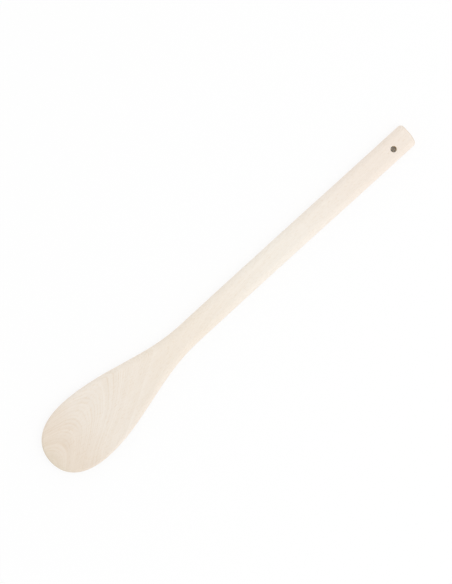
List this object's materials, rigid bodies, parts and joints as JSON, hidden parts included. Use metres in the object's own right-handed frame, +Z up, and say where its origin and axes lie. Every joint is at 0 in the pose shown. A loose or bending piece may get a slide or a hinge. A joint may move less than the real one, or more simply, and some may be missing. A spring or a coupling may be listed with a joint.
{
  "type": "wooden spatula",
  "caption": "Flat wooden spatula in one piece: a long straight handle with rounded edges and a hanging hole, flaring into an egg-shaped paddle blade for stirring and turning food.",
  "frame": {"origin": "on the plane of the handle's flat back, under the middle of the overall length and width", "axes": "+X from the handle to the tip of the blade, +Y across the blade, +Z up out of the front face"},
  "size_m": [0.45, 0.0652, 0.013],
  "materials": {
    "bare_wood": "pale fine-grained hardwood, sanded smooth and left bare"
  },
  "bodies": {
    "root": {"spatula_body": "bare_wood"}
  },
  "joints": []
}
